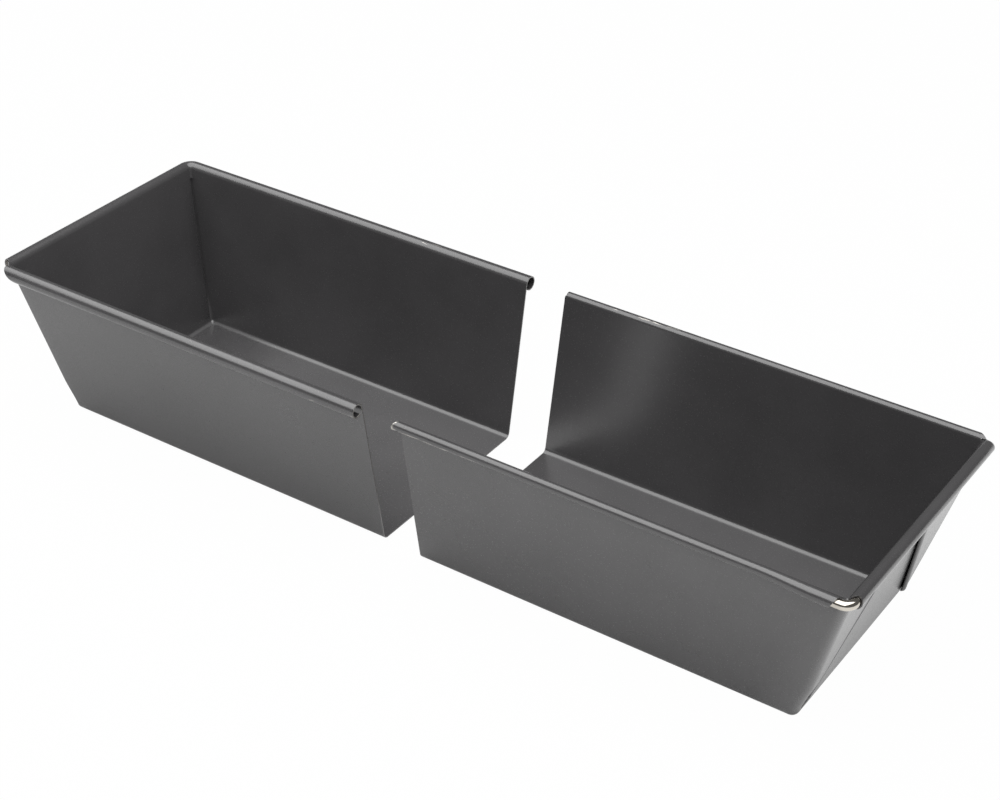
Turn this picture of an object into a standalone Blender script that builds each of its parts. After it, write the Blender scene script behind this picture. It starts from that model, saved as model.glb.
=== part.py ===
"""Adjustable loaf pan: two trays folded from coated sheet steel, the inner one sliding in the outer one.

Each tray is one sheet, open at one end. Its floor and walls turn into each other through bends, the
spare sheet at each closed corner is folded flat against the end wall as an ear, and the top edges are
rolled outwards. The outer tray's end roll holds a wire, whose ends run on into the side rolls. The
inner tray's side rolls are open curls: they hang over the outer tray's rolls and guide the slide. The
outer rim is notched at both corners, where the wire shows, and the inner rim at the near one only.
"""

import math
from dataclasses import dataclass

import bmesh
import bpy

MM = 0.001

# Sheet, wire and the clearances between them
SHEET = 0.5 * MM
RUNNING_GAP = 0.3 * MM
SEAT_GAP = 0.2 * MM
WIRE_DIAMETER = 3.5 * MM

# The outer tray over the outside of its sheet, its walls' leans, and the inner end wall's lean
FLOOR_WIDTH = 86.6 * MM
RIM_TOP = 69.3 * MM
SIDE_LEAN = math.radians(9.85)
OUTER_END_LEAN = math.radians(15.1)
INNER_END_LEAN = math.radians(14.3)

# Floors from the open end to where the end wall's plane meets them, and the space between the trays
OUTER_LENGTH = 158.0 * MM
INNER_LENGTH = 160.0 * MM
APART = 17.6 * MM

# Bends in the sheet, by their outside radius
FLOOR_BEND = 2.7 * MM
CORNER_BEND = 1.7 * MM
FOOT_CORNER = 0.5 * MM

# Rolled edges, by their outside radius; a curl has play round the roll that runs in it
SLIM_ROLL = 1.9 * MM
CURL_PLAY = 0.55 * MM
TAPER_LENGTH = 5.0 * MM

# Wire legs inside the side rolls, and the rims' bends at their corners, along the rolls' middle
LEG_INSIDE = 11.0 * MM
WIRE_BEND = 3.5 * MM
CURL_BEND = 3.8 * MM

# Where the rims stop at a notched corner, past the start of the corner bend
WIRED_NEAR_STOP = -2.3 * MM
WIRED_NEAR_END_STOP = 0.8 * MM
WIRED_FAR_STOP = -0.2 * MM
WIRED_FAR_END_STOP = -0.1 * MM
CURL_SIDE_STOP = -0.35 * MM
CURL_SIDE_CUT_BACK = 1.6 * MM
CURL_END_STOP = 0.2 * MM

# Folded ears: two more layers of sheet on the end wall, pressed together
EAR_FOOT_RISE = 2.0 * MM
EAR_LEAST_WIDTH = 0.4 * MM
EAR_EDGE = 0.5 * MM
EAR_TOP_GAP = 0.4 * MM
LEDGE = 0.02 * MM

# How finely the bends are cut into flat facets
BEND_STEPS = 5
CORNER_STEPS = 6
ROLL_STEP = math.radians(15)
WIRE_BEND_STEPS = 8
WIRE_SIDE_STEPS = 5

EAR_THICKNESS = 2 * SHEET
WIRED_ROLL = WIRE_DIAMETER / 2 + SEAT_GAP + SHEET
CURL = SLIM_ROLL + CURL_PLAY + SHEET


@dataclass
class Wall:
    """A leaning wall: its outside plane meets the floor's underside at foot and leans out by an angle."""

    foot: float
    lean: float

    def at(self, height):
        """How far out the outside plane stands at a height above the floor's underside."""
        return self.foot + height * math.tan(self.lean)

    def floor_end(self):
        """How far out the flat floor reaches, where its bend up into this wall begins."""
        return self.at(FLOOR_BEND) - FLOOR_BEND / math.cos(self.lean)

    def roll_axis(self, axis_height, radius):
        """How far out the axis of a roll of this outside radius lies, with the sheet running into it."""
        return self.at(axis_height) + (radius - SHEET) / math.cos(self.lean)


@dataclass
class Notch:
    """How far past the corner bend's start the two rolls stop at a notched corner."""

    side_stop: float
    side_cut_back: float
    end_stop: float


@dataclass
class Tray:
    """One tray in its own frame: the open end at run 0, the end wall at +run, the floor's underside at 0."""

    side: Wall
    end: Wall
    rim_top: float
    end_roll: float
    lip_gap: float
    rim_bend: float
    near_notch: Notch
    far_notch: Notch | None
    taper: tuple

    def side_roll(self, run):
        """Outside radius of the side rolls, which may swell towards the corner to hold the wire."""
        start, finish, slim, full = self.taper
        share = min(max((run - start) / (finish - start), 0.0), 1.0)
        return slim + (full - slim) * share

    def end_axis(self):
        """How far out and how high the end roll's axis lies."""
        height = self.rim_top - self.end_roll
        return self.end.roll_axis(height, self.end_roll), height

    def side_axis(self):
        """How far out and how high a side roll's axis lies beside the corner."""
        height = self.rim_top - self.end_roll
        return self.side.roll_axis(height, self.end_roll), height

    def reach(self):
        """The furthest point of the end roll from the open end."""
        return self.end_axis()[0] + self.end_roll

    def corner_start(self, wall):
        """Where the corner bend starts along the wall next to this one, at the height of the rim's axis."""
        return wall.at(self.rim_top - self.end_roll) - CORNER_BEND

    def ear_top(self):
        """Height where the ears end, under the end roll."""
        return self.rim_top - 2 * self.end_roll - EAR_TOP_GAP

    def fold_slope(self):
        """How far an ear's folded edge moves inwards for each unit of height.

        The floor's corner, the two walls and the ear's two layers fill a full turn of the flat sheet,
        which sets the ear's angle. The edge halves it.
        """
        beside_side = math.atan(math.tan(self.end.lean) * math.cos(self.side.lean))
        beside_end = math.atan(math.tan(self.side.lean) * math.cos(self.end.lean))
        ear_angle = (math.pi / 2 - beside_side - beside_end) / 2
        return math.tan(ear_angle - beside_end) / math.cos(self.end.lean)


def outer_tray_sizes():
    """The outer tray: slim rolls along its sides, which swell over the wire's legs at the far corners."""
    side = Wall(FLOOR_WIDTH / 2, SIDE_LEAN)
    end = Wall(OUTER_LENGTH, OUTER_END_LEAN)
    swollen = end.at(RIM_TOP - WIRED_ROLL) - CORNER_BEND - LEG_INSIDE - SEAT_GAP
    taper = (swollen - TAPER_LENGTH, swollen, SLIM_ROLL, WIRED_ROLL)
    near = Notch(WIRED_NEAR_STOP, 0.0, WIRED_NEAR_END_STOP)
    far = Notch(WIRED_FAR_STOP, 0.0, WIRED_FAR_END_STOP)
    return Tray(side, end, RIM_TOP, WIRED_ROLL, RUNNING_GAP, WIRE_BEND, near, far, taper)


def inner_tray_sizes():
    """The inner tray: its walls stand a running gap inside the outer tray's, and its curls go over them."""
    lift = SHEET + RUNNING_GAP
    inset = (SHEET + RUNNING_GAP) / math.cos(SIDE_LEAN)
    side = Wall(FLOOR_WIDTH / 2 - inset + lift * math.tan(SIDE_LEAN), SIDE_LEAN)
    end = Wall(INNER_LENGTH, INNER_END_LEAN)
    rim_top = RIM_TOP + RUNNING_GAP + SHEET - lift
    slot = SHEET + 2 * RUNNING_GAP
    taper = (0.0, INNER_LENGTH, CURL, CURL)
    near = Notch(CURL_SIDE_STOP, CURL_SIDE_CUT_BACK, CURL_END_STOP)
    return Tray(side, end, rim_top, CURL, slot, CURL_BEND, near, None, taper)


def roll_turn(radius, lip_gap):
    """How far a roll turns before its lip would come nearer to the wall than lip_gap."""
    return 2 * math.pi - math.acos((radius - SHEET - lip_gap) / radius)


def section_rows(tray):
    """The rows of the sheet's section, from the floor's edge to the roll's lip: kind, value, ear or not."""
    rows = [("bend", step / BEND_STEPS, False) for step in range(BEND_STEPS + 1)]
    rows.append(("wall", FLOOR_BEND + EAR_FOOT_RISE, True))
    rows.append(("wall", tray.ear_top(), True))
    rows.append(("wall", tray.ear_top() + LEDGE, False))
    roll_steps = round(roll_turn(tray.end_roll, tray.lip_gap) / ROLL_STEP)
    rows += [("roll", step / roll_steps, False) for step in range(roll_steps + 1)]
    return rows


def section_point(tray, wall, row, inside, radius):
    """Distance out and height of one row, on the sheet's inside or outside face, across a wall."""
    kind, value, _ = row
    across = math.cos(wall.lean)
    down = math.sin(wall.lean)
    depth = SHEET if inside else 0.0
    if kind == "bend":
        angle = value * (math.pi / 2 - wall.lean)
        bend = FLOOR_BEND - depth
        return wall.floor_end() + bend * math.sin(angle), FLOOR_BEND - bend * math.cos(angle)
    if kind == "wall":
        return wall.at(value) - depth * across, value + depth * down
    direction = -wall.lean - value * roll_turn(radius, tray.lip_gap)
    arm = radius if inside else radius - SHEET
    height = tray.rim_top - radius
    return wall.roll_axis(height, radius) - arm * math.cos(direction), height - arm * math.sin(direction)


def row_lift(row, share):
    """How far the outside face stands out on an ear, at this share of its thickness."""
    return share * EAR_THICKNESS if row[2] else 0.0


def corner_point(tray, row, inside, angle, lift_share):
    """A point of the bend between side and end wall, angle 0 at the side and a right angle at the end."""
    side_out, side_height = section_point(tray, tray.side, row, inside, tray.end_roll)
    end_out, end_height = section_point(tray, tray.end, row, inside, tray.end_roll)
    bend = CORNER_BEND - (SHEET * math.cos(tray.side.lean) if inside else 0.0)
    if row[0] == "bend":
        bend = FOOT_CORNER + (bend - FOOT_CORNER) * row[1]
    if not inside:
        end_out += row_lift(row, lift_share) / math.cos(tray.end.lean)
    share = math.sin(angle) ** 2
    run = end_out - bend * (1 - math.sin(angle))
    width = side_out - bend * (1 - math.cos(angle))
    return run, width, side_height + (end_height - side_height) * share


def side_station(tray, run):
    """A section across the tray's side. Below the rim it leans with the end wall, to stay off the corner."""
    share = run / tray.corner_start(tray.end)

    def point(row, inside):
        out, height = section_point(tray, tray.side, row, inside, tray.side_roll(run))
        if row[0] == "roll":
            return run, out, height
        return share * corner_point(tray, row, inside, 0.0, 1.0)[0], out, height

    return point


def turned_rim_point(tray, row, inside, angle):
    """A point of the roll where it turns the corner in one piece, round the same centre as the wire."""
    side_out, side_height = section_point(tray, tray.side, row, inside, tray.end_roll)
    end_out, end_height = section_point(tray, tray.end, row, inside, tray.end_roll)
    share = math.sin(angle) ** 2
    side_axis = tray.side_axis()[0]
    end_axis = tray.end_axis()[0]
    radial = tray.rim_bend + (side_out - side_axis) * (1 - share) + (end_out - end_axis) * share
    run = end_axis - tray.rim_bend + radial * math.sin(angle)
    width = side_axis - tray.rim_bend + radial * math.cos(angle)
    return run, width, side_height + (end_height - side_height) * share


def side_roll_end(tray, notch, value):
    """Where the side roll's cut end lies at this share of its turn: it may be cut back below its top."""
    turn = roll_turn(tray.end_roll, tray.lip_gap)
    top = (math.pi / 2 - tray.side.lean) / turn
    outermost = (math.pi - tray.side.lean) / turn
    reached = min(value / top, 1.0)
    cut_back = min(max((value - top) / (outermost - top), 0.0), 1.0)
    past = notch.side_stop * reached - notch.side_cut_back * cut_back
    return tray.corner_start(tray.end) + past


def corner_station(tray, angle, notch):
    """A section through the corner bend. At a notch, the first and last ones carry the rolls' ends."""

    def point(row, inside):
        kind, value, _ = row
        if kind == "roll" and not notch:
            return turned_rim_point(tray, row, inside, angle)
        if kind != "roll" or value == 0:
            return corner_point(tray, row, inside, angle, 1.0)
        if angle == 0:
            out, height = section_point(tray, tray.side, row, inside, tray.end_roll)
            return side_roll_end(tray, notch, value), out, height
        out, height = section_point(tray, tray.end, row, inside, tray.end_roll)
        return out, tray.corner_start(tray.side) + notch.end_stop, height

    return point


def end_station(tray, place):
    """A section across the end wall. Its place runs from an ear's folded edge (0) to the middle (1)."""
    inward, lift_share = place

    def point(row, inside):
        out, height = section_point(tray, tray.end, row, inside, tray.end_roll)
        rise = tray.ear_top() if row[0] == "roll" else min(height, tray.ear_top())
        fold = tray.side.at(FLOOR_BEND) - (rise - FLOOR_BEND) * tray.fold_slope()
        corner = corner_point(tray, row, inside, math.pi / 2, 0.0)[1]
        fold = min(fold, corner - EAR_LEAST_WIDTH - EAR_EDGE)
        if not inside:
            out += row_lift(row, lift_share) / math.cos(tray.end.lean)
        return out, fold + inward, height

    return point


def middle_station(tray):
    """The section down the middle of the end wall."""

    def point(row, inside):
        out, height = section_point(tray, tray.end, row, inside, tray.end_roll)
        return out, 0.0, height

    return point


def side_stations(tray):
    """Sections along one side, from the open end to where its roll has taken its last size."""
    start, finish, slim, full = tray.taper
    runs = [0.0] if slim == full else [0.0, start, finish]
    return [side_station(tray, run) for run in runs]


def corner_stations(tray, notch):
    """Sections round the corner bend."""
    angles = [step / CORNER_STEPS * math.pi / 2 for step in range(CORNER_STEPS + 1)]
    return [corner_station(tray, angle, notch) for angle in angles]


def end_stations(tray):
    """Sections from the ear's full thickness over its rounded folded edge to the bare end wall."""
    places = ((EAR_EDGE, 1.0), (EAR_EDGE / 4, 0.7), (0.0, 0.0))
    return [end_station(tray, place) for place in places]


def sheet_cells(tray, stations, rows, corner):
    """The cells that the sheet fills between the stations and rows: the rim has none over a notch."""
    near_corner = set(range(corner, corner + CORNER_STEPS))
    open_cells = near_corner if tray.near_notch else set()
    if tray.far_notch:
        open_cells = open_cells | {stations - 2 - station for station in near_corner}
    cells = set()
    for station in range(stations - 1):
        for index in range(len(rows) - 1):
            if rows[index][0] != "roll" or station not in open_cells:
                cells.add((station, index))
    return cells


def add_points(mesh, near, far, rows, direction):
    """The points of both faces of the sheet, from the near side's open end round to the far side's."""
    sections = [(-1, section) for section in near] + [(1, section) for section in reversed(far)]
    points = {}
    for station, (side, section) in enumerate(sections):
        for index, row in enumerate(rows):
            for inside in (False, True):
                run, width, height = section(row, inside)
                points[inside, station, index] = mesh.verts.new((direction * run, side * width, height))
    return points


def add_sheet(mesh, points, cells):
    """Both faces of the sheet over its cells, and the cut edge wherever a cell has no neighbour."""
    for station, index in sorted(cells):
        ring = [(station, index), (station + 1, index), (station + 1, index + 1), (station, index + 1)]
        for inside in (False, True):
            mesh.faces.new([points[inside, *corner] for corner in ring])
        if (station - 1, index) not in cells:
            add_cut_edge(mesh, points, ring[0], ring[3])
        if (station + 1, index) not in cells:
            add_cut_edge(mesh, points, ring[1], ring[2])
        if (station, index + 1) not in cells:
            add_cut_edge(mesh, points, ring[2], ring[3])


def add_cut_edge(mesh, points, first, second):
    """One facet of the sheet's cut edge, from its outside face to its inside face."""
    outside = [points[False, *first], points[False, *second]]
    inside = [points[True, *second], points[True, *first]]
    mesh.faces.new(outside + inside)


def add_floor(mesh, points, stations, centre_run):
    """The flat floor inside the first row, as a fan round a point in its middle."""
    for inside in (False, True):
        centre = mesh.verts.new((centre_run, 0.0, SHEET if inside else 0.0))
        for station in range(stations - 1):
            mesh.faces.new([points[inside, station, 0], points[inside, station + 1, 0], centre])
        mesh.faces.new([points[inside, stations - 1, 0], points[inside, 0, 0], centre])
    add_cut_edge(mesh, points, (0, 0), (stations - 1, 0))


def tray_mesh(name, tray, direction):
    """The whole tray as a closed mesh, with its end wall towards direction along X."""
    rows = section_rows(tray)
    sides = side_stations(tray)
    ends = end_stations(tray)
    near = sides + corner_stations(tray, tray.near_notch) + ends + [middle_station(tray)]
    far = sides + corner_stations(tray, tray.far_notch) + ends
    stations = len(near) + len(far)
    mesh = bmesh.new()
    points = add_points(mesh, near, far, rows, direction)
    add_sheet(mesh, points, sheet_cells(tray, stations, rows, len(sides)))
    add_floor(mesh, points, stations, direction * tray.end.foot / 2)
    loose = [vert for vert in mesh.verts if not vert.link_faces]
    bmesh.ops.delete(mesh, geom=loose, context="VERTS")
    bmesh.ops.recalc_face_normals(mesh, faces=mesh.faces)
    return finished_mesh(name, mesh)


def finished_mesh(name, mesh):
    """Turns the bmesh into mesh data that is smooth over its bends and sharp at its cut edges."""
    data = bpy.data.meshes.new(name)
    mesh.to_mesh(data)
    mesh.free()
    data.shade_smooth()
    data.set_sharp_from_angle(angle=math.radians(35))
    return data


def wire_route(tray):
    """The wire's middle line, from one leg round both corners to the other, in the outer tray's frame."""
    side_axis, height = tray.side_axis()
    end_axis = tray.end_axis()[0]
    half = [(tray.corner_start(tray.end) - LEG_INSIDE, side_axis)]
    for step in range(WIRE_BEND_STEPS + 1):
        angle = step / WIRE_BEND_STEPS * math.pi / 2
        run = end_axis - tray.rim_bend * (1 - math.sin(angle))
        width = side_axis - tray.rim_bend * (1 - math.cos(angle))
        half.append((run, width))
    near = [(run, -width, height) for run, width in half]
    far = [(run, width, height) for run, width in reversed(half)]
    return near + far


def coated_steel(name):
    """Dark grey non-stick coating on steel sheet."""
    return plain_material(name, (0.085, 0.085, 0.09), metallic=0.35, roughness=0.42)


def plated_wire():
    """Bright nickel plating on drawn steel wire."""
    return plain_material("plated_wire", (0.76, 0.73, 0.69), metallic=1.0, roughness=0.14)


def plain_material(name, colour, metallic, roughness):
    material = bpy.data.materials.new(name)
    material.use_nodes = True
    shader = material.node_tree.nodes["Principled BSDF"]
    shader.inputs["Base Color"].default_value = (*colour, 1.0)
    shader.inputs["Metallic"].default_value = metallic
    shader.inputs["Roughness"].default_value = roughness
    material.diffuse_color = (*colour, 1.0)
    return material


def add_object(name, data, location, material, parent=None):
    piece = bpy.data.objects.new(name, data)
    bpy.context.scene.collection.objects.link(piece)
    piece.location = location
    piece.parent = parent
    data.materials.append(material)
    return piece


def build_rim_wire(tray, open_end):
    curve = bpy.data.curves.new("rim_wire", "CURVE")
    curve.dimensions = "3D"
    curve.bevel_depth = WIRE_DIAMETER / 2
    curve.bevel_resolution = WIRE_SIDE_STEPS
    curve.use_fill_caps = True
    route = wire_route(tray)
    spline = curve.splines.new("POLY")
    spline.points.add(len(route) - 1)
    for point, place in zip(spline.points, route):
        point.co = (*place, 1.0)
    return add_object("rim_wire", curve, (open_end, 0, 0), plated_wire())


def build_slide(open_end, height):
    """The empty that the inner tray rides on, on the line that the tray slides along."""
    slide = bpy.data.objects.new("inner_slide", None)
    slide.empty_display_size = APART
    bpy.context.scene.collection.objects.link(slide)
    slide.location = (open_end, 0, height)
    return slide


def clear_scene():
    for piece in list(bpy.data.objects):
        bpy.data.objects.remove(piece)


def build():
    clear_scene()
    outer = outer_tray_sizes()
    inner = inner_tray_sizes()
    inner_open_end = (inner.reach() - APART - outer.reach()) / 2
    outer_open_end = inner_open_end + APART
    outer_mesh = tray_mesh("outer_tray", outer, direction=1)
    add_object("outer_tray", outer_mesh, (outer_open_end, 0, 0), coated_steel("outer_coating"))
    build_rim_wire(outer, outer_open_end)
    slide = build_slide(inner_open_end, SHEET + RUNNING_GAP)
    inner_mesh = tray_mesh("inner_tray", inner, direction=-1)
    add_object("inner_tray", inner_mesh, (0, 0, 0), coated_steel("inner_coating"), parent=slide)
    travel = APART + outer.end.floor_end()
    print("travel until the inner floor meets the outer end's bend:", round(travel / MM, 3), "mm")


build()
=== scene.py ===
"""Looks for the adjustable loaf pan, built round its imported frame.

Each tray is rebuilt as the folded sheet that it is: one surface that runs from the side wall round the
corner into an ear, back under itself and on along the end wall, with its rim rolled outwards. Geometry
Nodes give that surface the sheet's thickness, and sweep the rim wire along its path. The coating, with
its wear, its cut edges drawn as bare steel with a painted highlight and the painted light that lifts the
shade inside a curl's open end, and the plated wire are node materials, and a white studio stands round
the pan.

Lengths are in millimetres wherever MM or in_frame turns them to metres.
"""

import logging
import math
from dataclasses import dataclass, field
from enum import Enum
from typing import Any

import bpy
from mathutils import Matrix, Vector


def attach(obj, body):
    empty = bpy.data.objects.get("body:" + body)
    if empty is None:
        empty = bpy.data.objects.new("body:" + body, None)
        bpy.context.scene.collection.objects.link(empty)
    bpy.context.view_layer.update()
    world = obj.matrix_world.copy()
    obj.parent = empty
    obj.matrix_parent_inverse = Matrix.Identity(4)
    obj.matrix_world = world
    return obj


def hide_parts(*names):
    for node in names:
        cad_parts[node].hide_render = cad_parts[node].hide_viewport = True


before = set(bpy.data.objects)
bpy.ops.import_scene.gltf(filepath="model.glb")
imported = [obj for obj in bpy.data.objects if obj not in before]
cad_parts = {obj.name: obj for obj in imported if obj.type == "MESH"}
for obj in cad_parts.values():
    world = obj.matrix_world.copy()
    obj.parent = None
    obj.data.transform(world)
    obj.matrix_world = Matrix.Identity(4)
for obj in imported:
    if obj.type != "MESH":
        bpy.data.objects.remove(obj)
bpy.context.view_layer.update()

log = logging.getLogger("loaf_pan")

MM = 0.001
WHITE = "#ffffff"

Point = tuple[float, float, float]
Flat = tuple[float, float]
Edges = tuple[float, float, float, float]


class Socket(Enum):
    """The kinds of input that the geometry trees take."""

    GEOMETRY = "NodeSocketGeometry"
    FLOAT = "NodeSocketFloat"
    MATERIAL = "NodeSocketMaterial"


class Row(Enum):
    """The parts of the sheet's section, from the floor outwards."""

    BEND = "bend from the floor into the wall"
    WALL = "wall"
    ROLL = "rolled rim"


class Column(Enum):
    """The parts of the sheet round half a tray, from the open end to the middle of the end wall."""

    SIDE = "side wall"
    CORNER = "corner"
    EAR_FACE = "the ear's outer layer"
    EAR_FOLD = "the ear's folded edge"
    EAR_BACK = "the ear's inner layer"
    CORNER_FOLD = "the fold back into the end wall"
    END = "end wall"


GridRow = tuple[Row, float]
FLAT_COLUMNS = (Column.SIDE, Column.CORNER, Column.END)


def linear(hex_colour: str) -> tuple[float, float, float, float]:
    """Turns an sRGB hex colour into the linear colour that the shaders take.

    Args:
        hex_colour: six hex digits after a hash sign.

    Returns:
        Linear red, green and blue, and an alpha of 1.
    """
    shares = [int(hex_colour[place : place + 2], 16) / 255 for place in (1, 3, 5)]
    red, green, blue = (s / 12.92 if s <= 0.04045 else ((s + 0.055) / 1.055) ** 2.4 for s in shares)
    return red, green, blue, 1.0


def add_node(
    tree: bpy.types.NodeTree,
    kind: str,
    settings: dict[str, Any] | None = None,
    inputs: dict[str | int, Any] | None = None,
) -> bpy.types.Node:
    """Adds a node with its settings, and fills its inputs with values or links.

    Args:
        tree: the node tree that gets the node.
        kind: the node's type name.
        settings: properties of the node itself.
        inputs: values or output sockets, by input name or number.

    Returns:
        The new node.
    """
    node = tree.nodes.new(kind)
    for name, value in (settings or {}).items():
        setattr(node, name, value)
    for key, value in (inputs or {}).items():
        socket = node.inputs[key]
        if isinstance(value, bpy.types.NodeSocket):
            tree.links.new(value, socket)
        else:
            socket.default_value = value
    return node


def smooth(low: float, high: float, value: float) -> float:
    """A smooth step from 0 at low to 1 at high."""
    share = min(max((value - low) / (high - low), 0.0), 1.0)
    return share * share * (3 - 2 * share)


def band(edges: Edges, value: float) -> float:
    """A smooth hump, which rises to 1 between the first two edges and falls between the last two."""
    return smooth(edges[0], edges[1], value) * (1 - smooth(edges[2], edges[3], value))


def without_repeats(ring: list[int]) -> list[int]:
    """A closed ring of vertices without those that repeat the one before."""
    return [spot for index, spot in enumerate(ring) if spot != ring[index - 1]]


# Finishes


@dataclass(frozen=True)
class CoatedSteel:
    """Non-stick coating sprayed on steel sheet and baked: a dark grey film with a fine metallic flake.

    To the eye it is satin: a wall over a white table is mid grey, the end wall seen at a low angle is pale
    because it mirrors the table, and the inside, which mirrors itself, is nearly black. The spray leaves a
    fine orange peel and faint clouds, and rubbing leaves bright dashes of bare steel along the rolls.

    Sizes are in millimetres. The flake is too fine to show and is left in the film's colour. The orange peel
    is taken as 0.3 from crest to crest, which is also too fine to show, so grain draws it at 0.6. rubbed says
    how far this tray's rubbing shows, and the ranges are those of the noise that each pattern is cut from.
    """

    name: str
    film: str = "#434243"
    film_light: str = "#494849"
    bare: str = "#c9c5be"
    specular: float = 0.9
    topcoat: float = 0.7
    roughness: float = 0.25
    roughness_spread: float = 0.03
    crease_roughness: float = 0.7
    cloud: float = 34.0
    cloud_range: Flat = (0.35, 0.65)
    grain: float = 0.6
    grain_range: Flat = (0.3, 0.7)
    grain_depth: float = 0.02
    grain_strength: float = 0.15
    speck_spacing: float = 22.0
    speck_size: float = 0.16
    speck_core: float = 0.6
    speck_share: float = 0.25
    dash_length: float = 4.5
    dash_width: float = 0.5
    dash_range: Flat = (0.76, 0.82)
    rubbed: float = 1.0
    rub_lift: float = 0.3
    rub_limit: float = 6.0
    # Cut edges show as light metal by this much everywhere: bare steel and a painted highlight.
    edge_wear_and_highlight: float = 0.13
    bare_metal: float = 0.6

    def build(self) -> bpy.types.Material:
        """Makes the material.

        Returns:
            The material, which reads Object coordinates and the sheet's attributes: its cut edges, its inside
            face, its rubbing, the painted light inside its curl and its creases.
        """
        material = bpy.data.materials.new(self.name)
        material.use_nodes = True
        tree = material.node_tree
        shader = tree.nodes["Principled BSDF"]
        shader.inputs["Specular IOR Level"].default_value = self.specular
        shader.inputs["Coat Roughness"].default_value = self.roughness
        # The coat's weight is linked below, and this plain value is for a tool that drops the link.
        shader.inputs["Coat Weight"].default_value = self.topcoat
        place = add_node(tree, "ShaderNodeTexCoord").outputs["Object"]
        bare = add_node(
            tree,
            "ShaderNodeMath",
            {"operation": "MAXIMUM"},
            {0: self._specks(tree, place), 1: self._dashes(tree, place)},
        ).outputs[0]
        # Wear shows bare steel, and cut edges and the near curl's inside also turn light, as painted
        # highlight and painted light.
        wear_and_painted_light = add_node(
            tree, "ShaderNodeMath", {"operation": "MAXIMUM"}, {0: bare, 1: self._light_metal_and_painted_light(tree)}
        ).outputs[0]
        colour = add_node(
            tree,
            "ShaderNodeMix",
            {"data_type": "RGBA"},
            {"Factor": wear_and_painted_light, 6: self._film_colour(tree, place), 7: linear(self.bare)},
        ).outputs[2]
        metal = add_node(
            tree, "ShaderNodeMath", {"operation": "MULTIPLY"}, {0: bare, 1: self.bare_metal}
        ).outputs[0]
        grain = add_node(
            tree,
            "ShaderNodeTexNoise",
            inputs={"Vector": place, "Scale": 1 / (self.grain * MM), "Detail": 2.0},
        ).outputs["Fac"]
        bump = add_node(
            tree,
            "ShaderNodeBump",
            inputs={"Height": grain, "Strength": self.grain_strength, "Distance": self.grain_depth * MM},
        ).outputs["Normal"]
        creased = add_node(tree, "ShaderNodeAttribute", {"attribute_name": "creased"}).outputs["Fac"]
        gloss = add_node(
            tree,
            "ShaderNodeMath",
            {"operation": "MULTIPLY_ADD", "use_clamp": True},
            {0: creased, 1: -self.topcoat, 2: self.topcoat},
        ).outputs[0]
        links = {
            "Base Color": colour,
            "Metallic": metal,
            "Roughness": self._matt(tree, grain, creased),
            "Coat Weight": gloss,
            "Normal": bump,
        }
        for name, output in links.items():
            tree.links.new(output, shader.inputs[name])
        return material

    def _film_colour(self, tree: bpy.types.NodeTree, place: bpy.types.NodeSocket) -> bpy.types.NodeSocket:
        """The film's colour, which clouds slightly from the spray.

        Args:
            tree: the material's tree.
            place: the Object coordinates.

        Returns:
            The colour's socket.
        """
        low, high = self.cloud_range
        cloud = add_node(
            tree,
            "ShaderNodeTexNoise",
            inputs={"Vector": place, "Scale": 1 / (self.cloud * MM), "Detail": 3.0},
        ).outputs["Fac"]
        share = add_node(
            tree, "ShaderNodeMapRange", inputs={"Value": cloud, "From Min": low, "From Max": high}
        ).outputs["Result"]
        return add_node(
            tree,
            "ShaderNodeMix",
            {"data_type": "RGBA"},
            {"Factor": share, 6: linear(self.film), 7: linear(self.film_light)},
        ).outputs[2]

    def _matt(
        self, tree: bpy.types.NodeTree, grain: bpy.types.NodeSocket, creased: bpy.types.NodeSocket
    ) -> bpy.types.NodeSocket:
        """The roughness: it follows the orange peel a little, and is high where a fold crazed the film.

        Args:
            tree: the material's tree.
            grain: the orange peel's pattern.
            creased: the sheet's creased attribute.

        Returns:
            The roughness socket.
        """
        low, high = self.grain_range
        peel = add_node(
            tree,
            "ShaderNodeMapRange",
            inputs={
                "Value": grain,
                "From Min": low,
                "From Max": high,
                "To Min": self.roughness - self.roughness_spread,
                "To Max": self.roughness + self.roughness_spread,
            },
        ).outputs["Result"]
        return add_node(
            tree,
            "ShaderNodeMath",
            {"operation": "MULTIPLY_ADD", "use_clamp": True},
            {0: creased, 1: self.crease_roughness, 2: peel},
        ).outputs[0]

    def _light_metal_and_painted_light(self, tree: bpy.types.NodeTree) -> bpy.types.NodeSocket:
        """Light metal on cut edges, as bare steel and painted highlight, and as painted light in the curl's
        shade.

        Args:
            tree: the material's tree.

        Returns:
            The share of light metal in the colour.
        """
        shares = {
            name: add_node(tree, "ShaderNodeAttribute", {"attribute_name": name}).outputs["Fac"]
            for name in ("cut_edge_bare_and_highlight", "rubbed", "under_face", "slid")
        }
        share = add_node(
            tree,
            "ShaderNodeMath",
            {"operation": "ADD", "use_clamp": True},
            {0: shares["rubbed"], 1: self.edge_wear_and_highlight},
        ).outputs[0]
        # Cut edges: bare steel, and a painted highlight where a rounded edge would catch the light.
        edge = add_node(
            tree, "ShaderNodeMath", {"operation": "MULTIPLY"}, {0: shares["cut_edge_bare_and_highlight"], 1: share}
        ).outputs[0]
        # Painted light: inside the near curl's open end the inner face turns light metal, which lifts the
        # shade that lies there.
        inside = add_node(
            tree, "ShaderNodeMath", {"operation": "MULTIPLY"}, {0: shares["under_face"], 1: shares["slid"]}
        ).outputs[0]
        return add_node(tree, "ShaderNodeMath", {"operation": "MAXIMUM"}, {0: edge, 1: inside}).outputs[0]

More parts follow.
